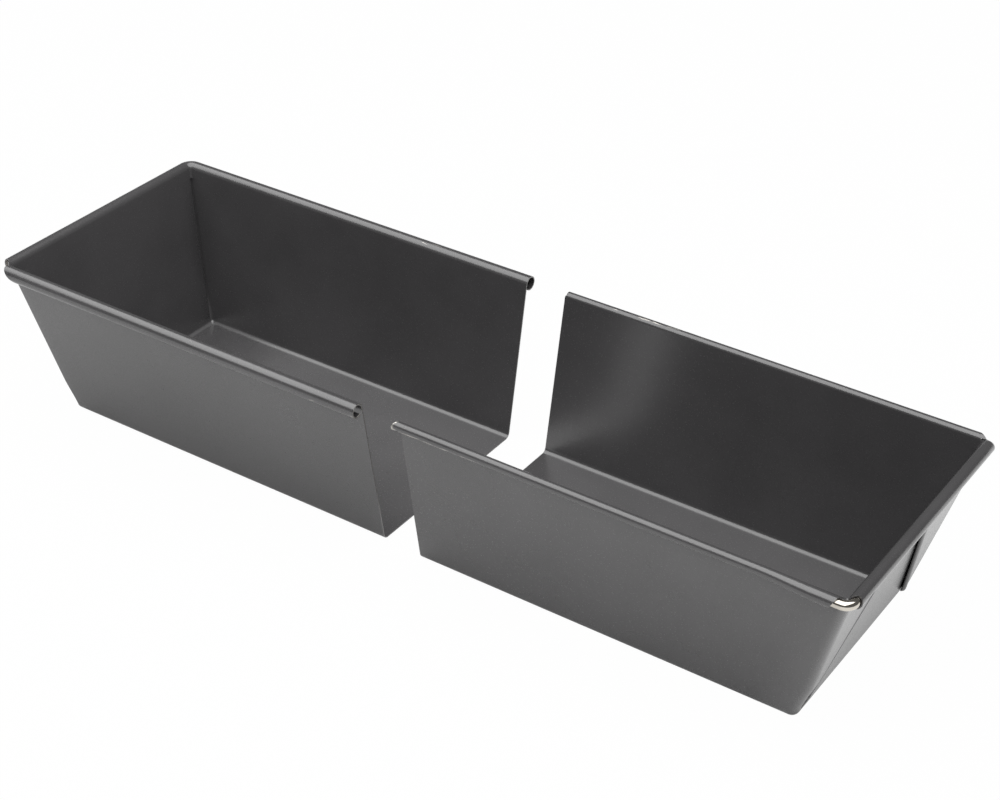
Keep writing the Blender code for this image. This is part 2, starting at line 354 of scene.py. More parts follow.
    def _specks(self, tree: bpy.types.NodeTree, place: bpy.types.NodeSocket) -> bpy.types.NodeSocket:
        """Pin-sized specks where the film has come off.

        Args:
            tree: the material's tree.
            place: the Object coordinates.

        Returns:
            The share of bare metal.
        """
        cells = add_node(
            tree,
            "ShaderNodeTexVoronoi",
            inputs={"Vector": place, "Scale": 1 / (self.speck_spacing * MM), "Randomness": 1.0},
        ).outputs["Distance"]
        reach = self.speck_size / self.speck_spacing
        return add_node(
            tree,
            "ShaderNodeMapRange",
            inputs={
                "Value": cells,
                "From Min": reach,
                "From Max": reach * self.speck_core,
                "To Max": self.speck_share,
            },
        ).outputs["Result"]

    def _dashes(self, tree: bpy.types.NodeTree, place: bpy.types.NodeSocket) -> bpy.types.NodeSocket:
        """Dashes of bare steel along the rolls, where the sheet's rubbed attribute is high.

        Args:
            tree: the material's tree.
            place: the Object coordinates.

        Returns:
            The share of bare metal.
        """
        across = 1 / (self.dash_width * MM)
        stretched = add_node(
            tree,
            "ShaderNodeMapping",
            inputs={"Vector": place, "Scale": (1 / (self.dash_length * MM), across, across)},
        ).outputs["Vector"]
        streaks = add_node(
            tree, "ShaderNodeTexNoise", inputs={"Vector": stretched, "Scale": 1.0, "Detail": 1.0}
        ).outputs["Fac"]
        rubbed = add_node(tree, "ShaderNodeAttribute", {"attribute_name": "rubbed"}).outputs["Fac"]
        level = add_node(
            tree,
            "ShaderNodeMath",
            {"operation": "MULTIPLY_ADD"},
            {0: rubbed, 1: self.rub_lift * self.rubbed, 2: streaks},
        ).outputs[0]
        low, high = self.dash_range
        dashes = add_node(
            tree, "ShaderNodeMapRange", inputs={"Value": level, "From Min": low, "From Max": high}
        ).outputs["Result"]
        only = add_node(
            tree,
            "ShaderNodeMath",
            {"operation": "MULTIPLY", "use_clamp": True},
            {0: rubbed, 1: self.rub_limit},
        ).outputs[0]
        return add_node(tree, "ShaderNodeMath", {"operation": "MULTIPLY"}, {0: dashes, 1: only}).outputs[0]


@dataclass(frozen=True)
class NickelPlate:
    """Nickel electroplated on drawn steel wire: warm, bright and nearly mirror smooth.

    The plating shows the studio as sharp bright and dark bands. The drawing die leaves faint lines along
    the wire, which blur the bands a little.
    """

    name: str = "nickel_plated_wire"
    plate: str = "#d6d0c6"
    roughness: Flat = (0.06, 0.16)
    line: float = 0.3

    def build(self) -> bpy.types.Material:
        """Makes the material.

        Returns:
            The material, which reads Object coordinates.
        """
        material = bpy.data.materials.new(self.name)
        material.use_nodes = True
        tree = material.node_tree
        shader = tree.nodes["Principled BSDF"]
        shader.inputs["Metallic"].default_value = 1.0
        shader.inputs["Base Color"].default_value = linear(self.plate)
        place = add_node(tree, "ShaderNodeTexCoord").outputs["Object"]
        lines = add_node(
            tree,
            "ShaderNodeTexNoise",
            inputs={"Vector": place, "Scale": 1 / (self.line * MM), "Detail": 1.0},
        ).outputs["Fac"]
        roughness = add_node(
            tree,
            "ShaderNodeMapRange",
            inputs={"Value": lines, "To Min": self.roughness[0], "To Max": self.roughness[1]},
        ).outputs["Result"]
        tree.links.new(roughness, shader.inputs["Roughness"])
        return material


@dataclass(frozen=True)
class MattPaintedBoard:
    """White paint rolled on a board and left matt.

    To the eye it is plain white with the faintest shadow. It glows to the camera, so that the picture's
    ground is white without more light on the pan, and its right side glows to the pan's gloss too, where the
    sheet mirrors it. bright_side says where that side starts and is full, in metres.
    """

    name: str = "matt_white_table"
    paint: str = "#cfcfcf"
    roughness: float = 0.9
    seen_glow: float = 0.985
    mirrored_glow: Flat = (0.0, 1.0)
    bright_side: Flat = (0.15, 0.2)

    def build(self) -> bpy.types.Material:
        """Makes the material.

        Returns:
            The material, which reads Object coordinates and the kind of ray.
        """
        material = bpy.data.materials.new(self.name)
        material.use_nodes = True
        tree = material.node_tree
        shader = tree.nodes["Principled BSDF"]
        shader.inputs["Base Color"].default_value = linear(self.paint)
        shader.inputs["Roughness"].default_value = self.roughness
        shader.inputs["Specular IOR Level"].default_value = 0.0
        glow = add_node(
            tree, "ShaderNodeEmission", inputs={"Color": linear(WHITE), "Strength": 1.0}
        ).outputs["Emission"]
        mix = add_node(
            tree,
            "ShaderNodeMixShader",
            inputs={0: self._glow_share(tree), 1: shader.outputs["BSDF"], 2: glow},
        ).outputs["Shader"]
        tree.links.new(mix, tree.nodes["Material Output"].inputs["Surface"])
        return material

    def _glow_share(self, tree: bpy.types.NodeTree) -> bpy.types.NodeSocket:
        """How much the board glows: nearly wholly to the camera, and in reflections more on its right side.

        Args:
            tree: the material's tree.

        Returns:
            The glow's share of the surface.
        """
        rays = add_node(tree, "ShaderNodeLightPath")
        seen = add_node(
            tree,
            "ShaderNodeMath",
            {"operation": "MAXIMUM"},
            {0: rays.outputs["Is Camera Ray"], 1: rays.outputs["Is Transmission Ray"]},
        ).outputs[0]
        straight = add_node(
            tree, "ShaderNodeMath", {"operation": "MULTIPLY"}, {0: seen, 1: self.seen_glow}
        ).outputs[0]
        place = add_node(tree, "ShaderNodeTexCoord").outputs["Object"]
        across = add_node(tree, "ShaderNodeSeparateXYZ", inputs={"Vector": place}).outputs["X"]
        glow = add_node(
            tree,
            "ShaderNodeMapRange",
            inputs={
                "Value": across,
                "From Min": self.bright_side[0],
                "From Max": self.bright_side[1],
                "To Min": self.mirrored_glow[0],
                "To Max": self.mirrored_glow[1],
            },
        ).outputs["Result"]
        mirrored = add_node(
            tree, "ShaderNodeMath", {"operation": "MULTIPLY"}, {0: rays.outputs["Is Glossy Ray"], 1: glow}
        ).outputs[0]
        return add_node(
            tree, "ShaderNodeMath", {"operation": "MAXIMUM"}, {0: straight, 1: mirrored}
        ).outputs[0]


# Geometry trees


@dataclass
class GeometryTree:
    """A node tree that works on one object, with named inputs, and is turned into a plain mesh."""

    name: str
    inputs: dict[str, Socket]
    tree: bpy.types.NodeTree = field(init=False)
    start: bpy.types.Node = field(init=False)

    def __post_init__(self) -> None:
        """Makes the tree with its named inputs and its one output."""
        self.tree = bpy.data.node_groups.new(self.name, "GeometryNodeTree")
        interface = self.tree.interface
        interface.new_socket("Geometry", in_out="INPUT", socket_type=Socket.GEOMETRY.value)
        for name, kind in self.inputs.items():
            interface.new_socket(name, in_out="INPUT", socket_type=kind.value)
        interface.new_socket("Geometry", in_out="OUTPUT", socket_type=Socket.GEOMETRY.value)
        self.start = add_node(self.tree, "NodeGroupInput")

    def given(self, name: str) -> bpy.types.NodeSocket:
        """The tree's own input of this name."""
        return self.start.outputs[name]

    def close(self, geometry: bpy.types.NodeSocket) -> None:
        """Ends the tree with real geometry that carries its material.

        Args:
            geometry: the shape's socket.
        """
        real = add_node(self.tree, "GeometryNodeRealizeInstances", inputs={"Geometry": geometry})
        dressed = add_node(
            self.tree,
            "GeometryNodeSetMaterial",
            inputs={"Geometry": real.outputs["Geometry"], "Material": self.given("Material")},
        )
        add_node(self.tree, "NodeGroupOutput", inputs={0: dressed.outputs["Geometry"]})

    def made(self, source: bpy.types.Object, name: str, values: dict[str, Any]) -> bpy.types.Object:
        """Runs the tree on an object and replaces that object by the plain result.

        Args:
            source: the object that the tree starts from, which is removed.
            name: the name of the new piece.
            values: the tree's inputs, by name.

        Returns:
            The finished piece, with its place in its mesh and no modifier left.
        """
        modifier = source.modifiers.new(self.name, "NODES")
        modifier.node_group = self.tree
        for item in self.tree.interface.items_tree:
            if item.item_type == "SOCKET" and item.in_out == "INPUT" and item.name in values:
                modifier[item.identifier] = values[item.name]
        bpy.context.view_layer.update()
        graph = bpy.context.evaluated_depsgraph_get()
        mesh = bpy.data.meshes.new_from_object(source.evaluated_get(graph), depsgraph=graph)
        mesh.name = name
        bpy.data.objects.remove(source)
        piece = bpy.data.objects.new(name, mesh)
        bpy.context.scene.collection.objects.link(piece)
        mesh.materials.clear()
        mesh.materials.append(values["Material"])
        return piece


# Points of the sheet's two faces and its edges that are nearer than this are joined.
WELD = 0.002


def sheet_tree() -> GeometryTree:
    """The tree that gives a folded surface the thickness of its sheet.

    Returns:
        A tree whose input surface carries the attribute through, the step to the sheet's other face. It
        warps the walls a little, as pressed sheet is, but not the floor's level, then adds the other face
        and the cut edges.
    """
    made = GeometryTree(
        "folded_sheet",
        {
            "Warp": Socket.FLOAT,
            "Warp Length": Socket.FLOAT,
            "Seed": Socket.FLOAT,
            "Material": Socket.MATERIAL,
        },
    )
    tree = made.tree
    through = add_node(
        tree, "GeometryNodeInputNamedAttribute", {"data_type": "FLOAT_VECTOR"}, {"Name": "through"}
    ).outputs["Attribute"]
    place = add_node(tree, "GeometryNodeInputPosition").outputs["Position"]
    frequency = add_node(
        tree, "ShaderNodeMath", {"operation": "DIVIDE"}, {0: 1.0, 1: made.given("Warp Length")}
    ).outputs[0]
    swell = add_node(
        tree,
        "ShaderNodeTexNoise",
        {"noise_dimensions": "4D"},
        {"Vector": place, "W": made.given("Seed"), "Scale": frequency, "Detail": 0.0},
    ).outputs["Color"]
    centred = add_node(
        tree, "ShaderNodeVectorMath", {"operation": "SUBTRACT"}, {0: swell, 1: (0.5, 0.5, 0.5)}
    ).outputs[0]
    level = add_node(
        tree, "ShaderNodeVectorMath", {"operation": "MULTIPLY"}, {0: centred, 1: (1.0, 1.0, 0.0)}
    ).outputs[0]
    push = add_node(
        tree, "ShaderNodeVectorMath", {"operation": "SCALE"}, {0: level, "Scale": made.given("Warp")}
    ).outputs[0]
    outside = add_node(
        tree, "GeometryNodeSetPosition", inputs={"Geometry": made.given("Geometry"), "Offset": push}
    ).outputs["Geometry"]
    thick = add_node(
        tree,
        "GeometryNodeExtrudeMesh",
        {"mode": "FACES"},
        {"Mesh": outside, "Offset": through, "Offset Scale": 1.0, "Individual": False},
    )
    # Cut edges are marked, and the coating draws them light: bare steel and a painted highlight.
    marked = add_node(
        tree,
        "GeometryNodeStoreNamedAttribute",
        {"data_type": "FLOAT", "domain": "FACE"},
        {"Geometry": thick.outputs["Mesh"], "Selection": thick.outputs["Side"], "Name": "cut_edge_bare_and_highlight", 3: 1.0},
    ).outputs["Geometry"]
    turned = add_node(
        tree,
        "GeometryNodeStoreNamedAttribute",
        {"data_type": "FLOAT", "domain": "FACE"},
        {
            "Geometry": add_node(tree, "GeometryNodeFlipFaces", inputs={"Mesh": outside}).outputs["Mesh"],
            "Name": "under_face",
            3: 1.0,
        },
    ).outputs["Geometry"]
    both = add_node(tree, "GeometryNodeJoinGeometry")
    tree.links.new(marked, both.inputs[0])
    tree.links.new(turned, both.inputs[0])
    welded = add_node(
        tree,
        "GeometryNodeMergeByDistance",
        inputs={"Geometry": both.outputs["Geometry"], "Distance": WELD * MM},
    ).outputs["Geometry"]
    made.close(welded)
    return made


def wire_tree() -> GeometryTree:
    """The tree that sweeps a round wire along a path.

    Returns:
        A tree whose input is the wire's path, already bent at its corners.
    """
    made = GeometryTree("drawn_wire", {"Radius": Socket.FLOAT, "Material": Socket.MATERIAL})
    tree = made.tree
    ring = add_node(
        tree,
        "GeometryNodeCurvePrimitiveCircle",
        {"mode": "RADIUS"},
        {"Resolution": 32, "Radius": made.given("Radius")},
    ).outputs["Curve"]
    swept = add_node(
        tree,
        "GeometryNodeCurveToMesh",
        inputs={"Curve": made.given("Geometry"), "Profile Curve": ring, "Fill Caps": True},
    ).outputs["Mesh"]
    shaded = add_node(
        tree, "GeometryNodeSetShadeSmooth", inputs={"Geometry": swept, "Shade Smooth": True}
    ).outputs["Geometry"]
    made.close(shaded)
    return made


# The folded trays

SHEET = 0.5
RIM_TOP = 69.3
FLOOR_HALF = 43.3
SIDE_LEAN = math.radians(9.85)

# Outside radii of the bends: floor to wall, wall to wall, and wall to wall at the floor.
FLOOR_BEND = 2.7
CORNER_BEND = 1.7
FOOT_CORNER = 0.5

# The inner tray runs clear of the outer one, and its floor is lifted by its sheet and the gap.
RUNNING_GAP = 0.3
LIFT = SHEET + RUNNING_GAP

# Outside radii of the rolled rims. A curl has room inside for a slim roll.
SLIM_ROLL = 1.9
WIRE_RADIUS = 1.75
SEAT_GAP = 0.2
WIRED_ROLL = WIRE_RADIUS + SEAT_GAP + SHEET
CURL_ROOM = 0.55
CURL = SLIM_ROLL + CURL_ROOM + SHEET

# How far round, in degrees, a roll's slanted cut ends at its lip.
LIP_TURN = 220.0

# Heights of the ears' foot and of where their layers start to open, and the gap between their top and the
# end roll. PINCH keeps an ear's folded edge off the corner, THINNEST is the least radius inside its fold, and
# EAR_STEP is the share across it over which its slope is taken.
EAR_FOOT = FLOOR_BEND + 0.4
EAR_OPENING = EAR_FOOT - 0.6
EAR_TO_ROLL = 0.4
PINCH = 0.5
THINNEST = 0.02
EAR_STEP = 0.01

# The floor's inner rings, as shares of the way from its edge to its middle.
FLOOR_RINGS = (0.35, 0.7)

# Spots that round to the same ten-thousandth of a millimetre are one vertex.
WELD_STEPS = 1e7

# A rubbed mark that leaves cut edges in the film's dark colour, without bare steel or painted highlight.
UNRUBBED = -1.0

# Edges with a larger angle than this are shaded sharp.
SHARP_SHEET = math.radians(38)
SHARP_WIRE = math.radians(60)


class Pass(Enum):
    """How the rolled rim passes a corner."""

    TURNED = "the roll turns the corner in one piece"
    NOTCHED = "both rolls are cut back, and what is inside them shows"
    LAPPED = "the end roll turns in under the cut end of the side roll"


@dataclass(frozen=True)
class Wall:
    """A leaning wall: its outside plane meets the floor's underside at foot and leans out by an angle."""

    foot: float
    lean: float

    def at(self, height: float) -> float:
        """How far out the outside plane stands at a height."""
        return self.foot + height * math.tan(self.lean)

    def floor_end(self) -> float:
        """How far out the flat floor reaches."""
        return self.at(FLOOR_BEND) - FLOOR_BEND / math.cos(self.lean)

    def roll_axis(self, height: float, radius: float) -> float:
        """How far out the axis of a roll of this radius lies."""
        return self.at(height) + (radius - SHEET) / math.cos(self.lean)


@dataclass(frozen=True)
class Ear:
    """The spare sheet at a closed corner, folded flat on the end wall.

    The gapes say how far its folded edge stands off the wall at the foot and under the rim, and the widths
    how much further across it reaches there than a flat fold would. Its layers open over foot_rise, and
    grip is the share of its height that the foot holds shut. The radii are half its thickness at the corner
    and at the folded edge.
    """

    foot_gape: float
    rim_gape: float
    foot_width: float = 0.0
    rim_width: float = 0.0
    foot_rise: float = 5.6
    grip: float = 0.05
    layer_radius: float = 0.54
    fold_radius: float = 0.54
    layer_gap: float = 0.08

    def stack(self) -> float:
        """The ear's thickness at the corner, with its gap to the wall."""
        return 2 * self.layer_radius + self.layer_gap

    def opened(self, height: float) -> float:
        """How far the ear's two layers stand apart at a height, from 0 at its foot to 1."""
        return smooth(EAR_OPENING, EAR_OPENING + self.foot_rise, height)

    def radius(self, share: float) -> float:
        """Half the thickness of the two layers, which grows towards the folded edge."""
        return self.layer_radius + (self.fold_radius - self.layer_radius) * share**2

    def gape(self, share: float, rise: float) -> float:
        """How far the ear bulges off the wall.

        Args:
            share: place across the ear, 0 at the corner and 1 at the folded edge.
            rise: place up the ear, 0 at its foot and 1 under the rim.

        Returns:
            The bulge in millimetres.
        """
        edge = self.foot_gape + (self.rim_gape - self.foot_gape) * smooth(0.0, 1.0, rise)
        return (edge * smooth(0.0, self.grip, rise) + 2 * (self.fold_radius - self.layer_radius)) * share**2


@dataclass(frozen=True)
class RimCorner:
    """How the rolled rim passes a corner.

    edge_turn and middle_turn say how far, in degrees, the sheet still rolls over beside a notch and at its
    middle. The stops say how far past the start of the corner's bend the rolls end, and the cut backs how
    much less that is at the lip, along a curve. drop and draw_in carry a lapped end roll under the side
    roll, and wall_bend is the radius of the walls' bend below.
    """

    kind: Pass
    edge_turn: float = 90.0
    middle_turn: float = 90.0
    side_stop: float = 0.0
    side_cut_back: float = 0.0
    end_stop: float = 0.0
    end_cut_back: float = 0.0
    drop: float = 0.0
    draw_in: float = 0.0
    wall_bend: float = CORNER_BEND
    cut_curve: float = 2.0

    def cut_back(self, turn: float) -> float:
        """How much of the cut back a roll has at a turn.

        Args:
            turn: how far the sheet has rolled over, in radians.

        Returns:
            A share from 0 beside the notch's edge to 1 at the lip.
        """
        share = (math.degrees(turn) - self.edge_turn) / (LIP_TURN - self.edge_turn)
        return min(max(share, 0.0), 1.0) ** self.cut_curve


@dataclass(frozen=True)
class RubbedZone:
    """A stretch of a roll that the other tray rubs, in degrees round the roll and shares along the side."""

    amount: float
    turns: Edges
    runs: Edges

    def at(self, turned: float, share: float) -> float:
        """How rubbed the roll is at a turn and a share along the side."""
        return self.amount * band(self.turns, turned) * band(self.runs, share)


NEAR_LIP = RubbedZone(amount=1.0, turns=(176.0, 188.0, 236.0, 250.0), runs=(-1.0, 0.0, 0.12, 0.26))
FAR_TOP = RubbedZone(amount=0.42, turns=(40.0, 60.0, 110.0, 130.0), runs=(0.08, 0.16, 0.32, 0.45))
NEAR_OPEN_END = (50.0, 60.0, 215.0, 225.0)


@dataclass(frozen=True)
class Place:
    """One column of the sheet's grid: what it belongs to, its share along that, and which half it is in."""

    kind: Column
    share: float
    far: bool


@dataclass
class SheetNet:
    """The vertices of a sheet's outside face, with what each one carries.

    through is the step to the inside face. The marks say how rubbed and how creased the sheet is, and how
    much painted light lifts the shade inside the near curl.
    """

    spots: list[Point] = field(default_factory=list)
    through: list[Point] = field(default_factory=list)
    marks: dict[str, list[float]] = field(
        default_factory=lambda: {"rubbed": [], "creased": [], "slid": []}
    )
    numbers: dict[tuple[int, ...], int] = field(default_factory=dict)

    def add(self, spot: Point, through: Point, **marks: float) -> int:
        """Adds a vertex.

        Args:
            spot: where it is.
            through: its step to the inside face.
            marks: its marks, which are 0 where they aren't given.

        Returns:
            The vertex's number.
        """
        self.spots.append(spot)
        self.through.append(through)
        for name, values in self.marks.items():
            values.append(marks.get(name, 0.0))
        return len(self.spots) - 1

    def mesh(self, name: str, faces: list[list[int]]) -> bpy.types.Mesh:
        """Makes the mesh, with the step and the marks as its attributes.

        Args:
            name: the mesh's name.
            faces: the faces, by their vertices.

        Returns:
            The mesh.
        """
        made = bpy.data.meshes.new(name)
        made.from_pydata(self.spots, [], faces)
        steps = made.attributes.new("through", "FLOAT_VECTOR", "POINT")
        steps.data.foreach_set("vector", [value for step in self.through for value in step])
        for mark, values in self.marks.items():
            made.attributes.new(mark, "FLOAT", "POINT").data.foreach_set("value", values)
        return made


@dataclass
class FoldedTray:
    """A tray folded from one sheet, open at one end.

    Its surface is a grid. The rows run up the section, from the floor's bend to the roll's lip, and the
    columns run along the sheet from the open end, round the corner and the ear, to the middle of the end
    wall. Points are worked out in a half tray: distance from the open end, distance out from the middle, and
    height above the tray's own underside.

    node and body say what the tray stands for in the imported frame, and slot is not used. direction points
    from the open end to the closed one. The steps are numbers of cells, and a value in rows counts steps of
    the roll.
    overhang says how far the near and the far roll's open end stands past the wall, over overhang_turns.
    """

    name: str
    node: str
    body: str
    slot: str
    open_end: float
    direction: int
    lift: float
    side: Wall
    end: Wall
    rim_top: float
    end_roll: float
    slim_roll: float
    swell: Flat
    lip_gap: float
    rim_bend: float
    near_corner: RimCorner
    far_corner: RimCorner
    near_ear: Ear
    far_ear: Ear
    overhang: Flat = (0.0, 0.0)
    overhang_turns: tuple[Flat, Flat] = ((50.0, 170.0), (0.0, 70.0))
    # How much painted light lifts the shade inside the near curl's open end.
    curl_light_share: float = 0.0
    worn_end: float = 1.2
    warp: float = 0.12
    warp_length: float = 60.0
    seed: float = 1.0
    bend_steps: int = 7
    roll_steps: int = 34
    notch_row: int = 13
    notch_rows: int = 4
    lap_row: int = 9
    lap_turn: float = 12.0
    drop_rows: Flat = (0.0, 6.0)
    draw_rows: Flat = (5.0, 10.0)
    corner_steps: int = 9
    ear_steps: int = 5
    fold_steps: int = 6
    side_steps: int = 17
    side_reach: float = 0.97
    first_column: float = 0.45
    swell_steps: int = 8
    swell_margin: float = 2.0
    end_steps: int = 8
    ear_heights: tuple[float, ...] = (
        3.6, 4.2, 5.0, 5.9, 7.0, 8.4, 10.0, 13.0, 17.0, 22.0, 28.0, 35.0, 42.0, 49.0, 55.0, 60.0,
    )
    ear_margin: float = 1.5
    roll_foot: float = 0.3

    def ear_top(self) -> float:
        """Height where the ears end, under the end roll."""
        return self.rim_top - 2 * self.end_roll - EAR_TO_ROLL

    def axis_height(self) -> float:
        """Height of the end roll's axis."""
        return self.rim_top - self.end_roll

    def side_axis(self) -> float:
        """How far out the side roll's axis lies beside the corner."""
        return self.side.roll_axis(self.axis_height(), self.end_roll)

    def end_axis(self) -> float:
        """How far out the end roll's axis lies."""
        return self.end.roll_axis(self.axis_height(), self.end_roll)

    def corner_start(self, wall: Wall) -> float:
        """Where the corner bend starts along the wall next to this one, at the rim."""
        return wall.at(self.axis_height()) - CORNER_BEND

    def roll_turn(self, radius: float) -> float:
        """How far a roll of this radius turns before its lip comes near the wall."""
        return 2 * math.pi - math.acos((radius - SHEET - self.lip_gap) / radius)

    def ear_of(self, place: Place) -> Ear:
        """The ear in this column's half."""
        return self.far_ear if place.far else self.near_ear

    def corner_of(self, place: Place) -> RimCorner:
        """The rim's corner in this column's half."""
        return self.far_corner if place.far else self.near_corner

    def side_roll(self, run: float, far: bool) -> float:
        """The radius of a side roll, which swells towards a corner that the wire turns.

        Args:
            run: distance from the open end.
            far: whether it is the far side's roll.

        Returns:
            The outside radius.
        """
        if far and self.far_corner.kind == Pass.LAPPED:
            return self.slim_roll
        start, finish = self.swell
        return self.slim_roll + (self.end_roll - self.slim_roll) * smooth(start, finish, run)

    def rows(self) -> list[GridRow]:
        """The grid's rows.

        Returns:
            Each row as a part of the section and a value on it: a share of the bend, a height on the wall,
            or a step of the roll.
        """
        rows = [(Row.BEND, step / self.bend_steps) for step in range(self.bend_steps + 1)]
        top = self.ear_top()
        heights = [height for height in self.ear_heights if height < top - self.ear_margin]
        rows += [(Row.WALL, height) for height in [EAR_FOOT] + heights + [top, top + self.roll_foot]]
        rows += [(Row.ROLL, float(step)) for step in range(self.roll_steps + 1)]
        return rows

    def beside_ear(self, row: GridRow) -> bool:
        """Whether a row crosses the ears, above their foot."""
        return row[0] == Row.WALL and EAR_FOOT < row[1] <= self.ear_top()

    def folded(self, place: Place, row: GridRow) -> float:
        """How far the ear is open at a row: 0 where the corner is a plain bend."""
        return self.ear_of(place).opened(row[1]) if self.beside_ear(row) else 0.0

    def ear_rise(self, row: GridRow) -> float:
        """How far up the ear a row is, 0 at the ear's foot and 1 at its top."""
        return (row[1] - EAR_FOOT) / (self.ear_top() - EAR_FOOT)

    def roll_share(self, place: Place, row: GridRow) -> float:
        """How much of the roll's turn a row has made, set so that one row follows the notch's edge.

        Args:
            place: the column.
            row: the row, on the roll.

        Returns:
            A share from 0 at the wall to 1 at the lip.
        """
        turn = self.roll_turn(self.end_roll)
        seams = [math.radians(corner.edge_turn) / turn for corner in (self.near_corner, self.far_corner)]
        seam = seams[place.far]
        if place.kind == Column.END:
            middle = sum(seams) / 2
            seam += (middle - seam) * place.share
        corner = self.corner_of(place)
        if place.kind == Column.CORNER and corner.kind == Pass.NOTCHED:
            dip = math.sin(math.pi * place.share) ** 2
            seam += (math.radians(corner.middle_turn) / turn - seam) * dip
        step = row[1]
        if step <= self.notch_row:
            return seam * step / self.notch_row
        return seam + (1 - seam) * (step - self.notch_row) / (self.roll_steps - self.notch_row)

    def section(self, wall: Wall, row: GridRow, inside: bool, radius: float, share: float) -> Flat:
        """A point of the section across a wall.

        Args:
            wall: the wall that is cut.
            row: the part of the section and its value.
            inside: whether the point lies on the sheet's inside face.
            radius: the roll's outside radius here.
            share: how much of the roll's turn is made.

        Returns:
            Distance out and height.
        """
        kind, value = row
        depth = SHEET if inside else 0.0
        if kind == Row.BEND:
            angle = value * (math.pi / 2 - wall.lean)
            bend = FLOOR_BEND - depth
            return wall.floor_end() + bend * math.sin(angle), FLOOR_BEND - bend * math.cos(angle)
        if kind == Row.WALL:
            return wall.at(value) - depth / math.cos(wall.lean), value
        direction = -wall.lean - share * self.roll_turn(radius)
        arm = radius if inside else radius - SHEET
        height = self.rim_top - radius
        return wall.roll_axis(height, radius) - arm * math.cos(direction), height - arm * math.sin(direction)

    def corner_point(self, place: Place, row: GridRow, inside: bool) -> Point:
        """A point of the bend between the side and the end wall, below the rim.

        Args:
            place: the column.
            row: the row, on the floor's bend or the wall.
            inside: whether the point lies on the sheet's inside face.

        Returns:
            The point in the half tray.
        """
        side_out, side_height = self.section(self.side, row, inside, self.end_roll, 0.0)
        end_out, end_height = self.section(self.end, row, inside, self.end_roll, 0.0)
        bend = self.corner_of(place).wall_bend - (SHEET if inside else 0.0)
        if row[0] == Row.BEND:
            bend = FOOT_CORNER + (bend - FOOT_CORNER) * row[1]
        end_out += self.folded(place, row) * self.ear_of(place).stack() / math.cos(self.end.lean)
        angle = place.share * math.pi / 2
        run = end_out - bend * (1 - math.sin(angle))
        width = side_out - bend * (1 - math.cos(angle))
        return run, width, side_height + (end_height - side_height) * math.sin(angle) ** 2

    def turned_rim(self, place: Place, row: GridRow, inside: bool) -> Point:
        """A point of the roll where it turns the corner with the wire.

        Args:
            place: the column.
            row: the row, on the roll.
            inside: whether the point lies on the sheet's inside face.

        Returns:
            The point in the half tray.
        """
        share = self.roll_share(place, row)
        side_out, side_height = self.section(self.side, row, inside, self.end_roll, share)
        end_out, end_height = self.section(self.end, row, inside, self.end_roll, share)
        angle = place.share * math.pi / 2
        blend = math.sin(angle) ** 2
        radial = (side_out - self.side_axis()) * (1 - blend) + (end_out - self.end_axis()) * blend
        radial += self.rim_bend
        run = self.end_axis() - self.rim_bend + radial * math.sin(angle)
        width = self.side_axis() - self.rim_bend + radial * math.cos(angle)
        corner = self.corner_of(place)
        past_lap = row[1] - self.lap_row
        drop = corner.drop * math.cos(angle) * smooth(*self.drop_rows, past_lap)
        draw_in = corner.draw_in * math.cos(angle) * smooth(*self.draw_rows, past_lap)
        return run, width - draw_in, side_height + (end_height - side_height) * blend - drop

    def rim_end(self, place: Place, row: GridRow, inside: bool) -> Point:
        """A point of a roll's cut end beside a notch.

        Args:
            place: the column, in the side's half of the corner or in the end's.
            row: the row, on the roll past the notch's edge.
            inside: whether the point lies on the sheet's inside face.

        Returns:
            The point in the half tray.
        """
        corner = self.corner_of(place)
        share = self.roll_share(place, row)
        back = corner.cut_back(share * self.roll_turn(self.end_roll))
        past_edge = smooth(self.notch_row, self.notch_row + self.notch_rows, row[1])
        turned = self.turned_rim(place, row, inside)
        if place.share < 0.5:
            out, height = self.section(self.side, row, inside, self.end_roll, share)
            stop = self.corner_start(self.end) + corner.side_stop - corner.side_cut_back * back
            return turned[0] + (stop - turned[0]) * past_edge, out, height
        out, height = self.section(self.end, row, inside, self.end_roll, share)
        stop = self.corner_start(self.side) + corner.end_stop - corner.end_cut_back * back
        return out, turned[1] + (stop - turned[1]) * past_edge, height

    def rim_point(self, place: Place, row: GridRow, inside: bool) -> Point:
        """A point of the rolled rim in the corner's columns.

        Args:
            place: the column.
            row: the row, on the roll.
            inside: whether the point lies on the sheet's inside face.

        Returns:
            The point in the half tray.
        """
        whole = self.corner_of(place).kind != Pass.NOTCHED or row[1] <= self.notch_row
        shape = self.turned_rim if whole else self.rim_end
        return shape(place, row, inside)

    def past_corner(self, place: Place, row: GridRow, inside: bool) -> Point:
        """A point of the corner's columns, in the rim or below it."""
        shape = self.rim_point if row[0] == Row.ROLL else self.corner_point
        return shape(place, row, inside)

    def fold_edge(self, place: Place, row: GridRow) -> float:
        """How far out the ear's folded edge lies at a row, from how the flat sheet folds.

        Args:
            place: a column in the ear's half.
            row: the row, on the wall.

        Returns:
            Distance out from the tray's middle.
        """
        beside_side = math.atan(math.tan(self.end.lean) * math.cos(self.side.lean))
        beside_end = math.atan(math.tan(self.side.lean) * math.cos(self.end.lean))
        ear_angle = (math.pi / 2 - beside_side - beside_end) / 2
        slope = math.tan(ear_angle - beside_end) / math.cos(self.end.lean)
        corner = self.corner_point(Place(Column.CORNER, 1.0, place.far), row, False)[1]
        ear = self.ear_of(place)
        wider = ear.foot_width + (ear.rim_width - ear.foot_width) * self.ear_rise(row)
        fold = self.side.at(FLOOR_BEND) - (row[1] - FLOOR_BEND) * slope - wider
        return min(fold, corner - PINCH * self.folded(place, row))

